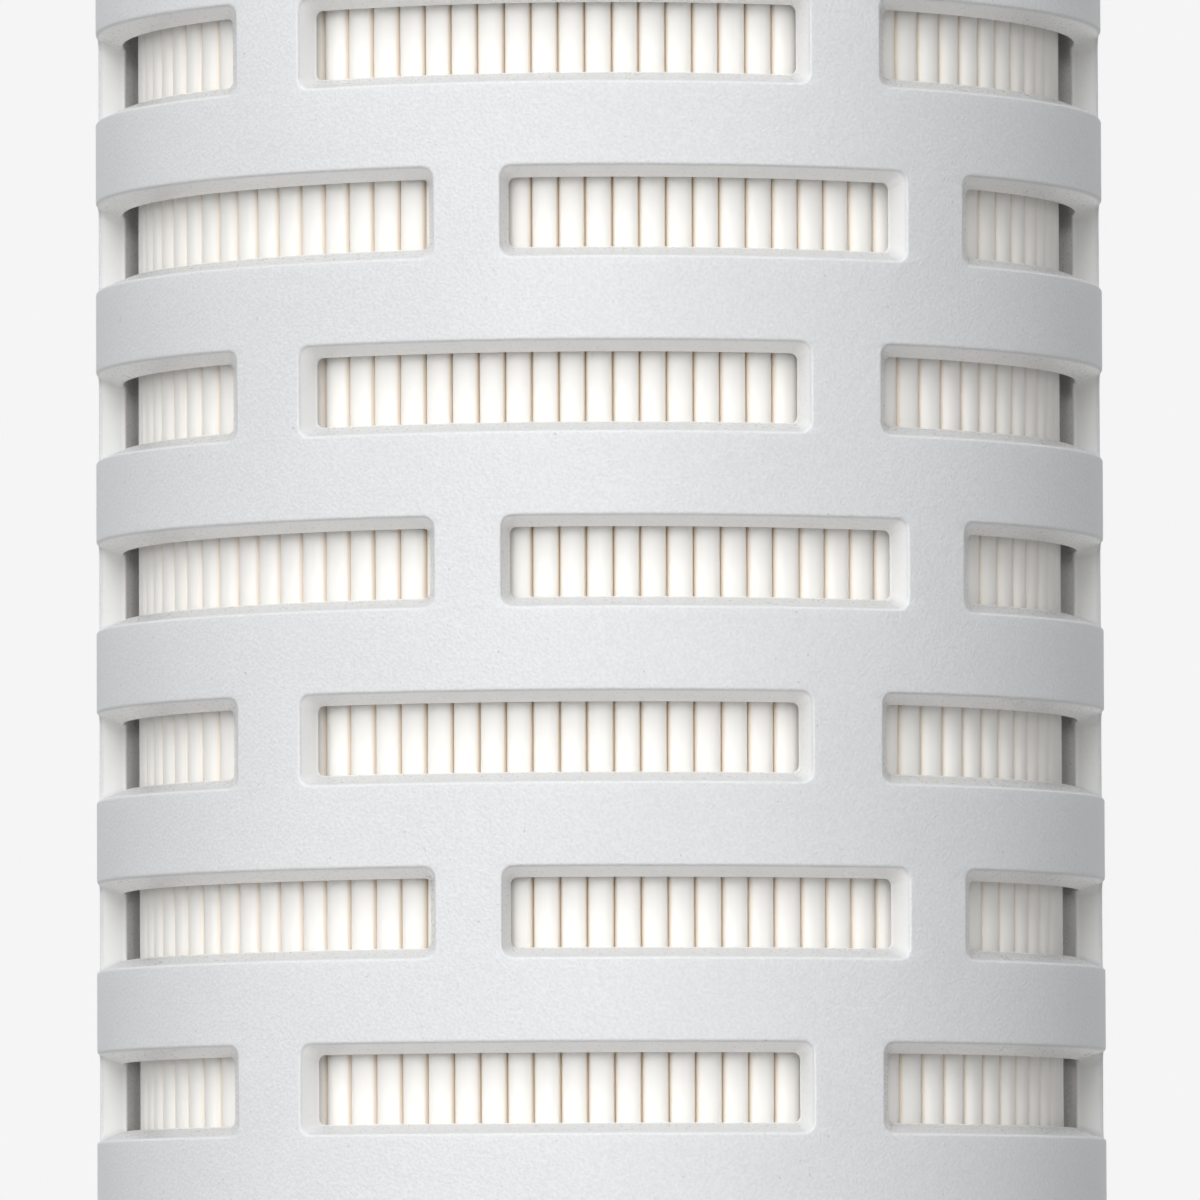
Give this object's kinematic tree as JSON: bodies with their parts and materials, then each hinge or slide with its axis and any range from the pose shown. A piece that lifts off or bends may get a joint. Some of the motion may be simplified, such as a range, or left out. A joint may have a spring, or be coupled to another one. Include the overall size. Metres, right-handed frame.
{
  "type": "pleated ultrafiltration membrane cartridge",
  "caption": "Round pleated membrane cartridge: a slotted milky cage round white pleats, a flat closed end below and a ringed outlet spigot above.",
  "frame": {"origin": "centre of the closed end cap's flat face, which the cartridge stands on", "axes": "+Z along the cartridge towards the outlet spigot, -Y towards the side that the picture shows, +X to its right"},
  "size_m": [0.07, 0.07, 0.288],
  "materials": {
    "cage_plastic": "satin milky polypropylene with a fine grain",
    "membrane": "matte white pleated membrane",
    "core_plastic": "satin natural polypropylene",
    "cap_plastic": "satin white polypropylene",
    "seal_rubber": "matte black rubber"
  },
  "bodies": {
    "root": {"outer_cage": "cage_plastic", "pleated_membrane": "membrane", "inner_core": "core_plastic", "closed_end_cap": "cap_plastic", "open_end_cap": "cap_plastic", "outlet_adapter": "cap_plastic", "lower_o_ring": "seal_rubber", "upper_o_ring": "seal_rubber"}
  },
  "joints": []
}
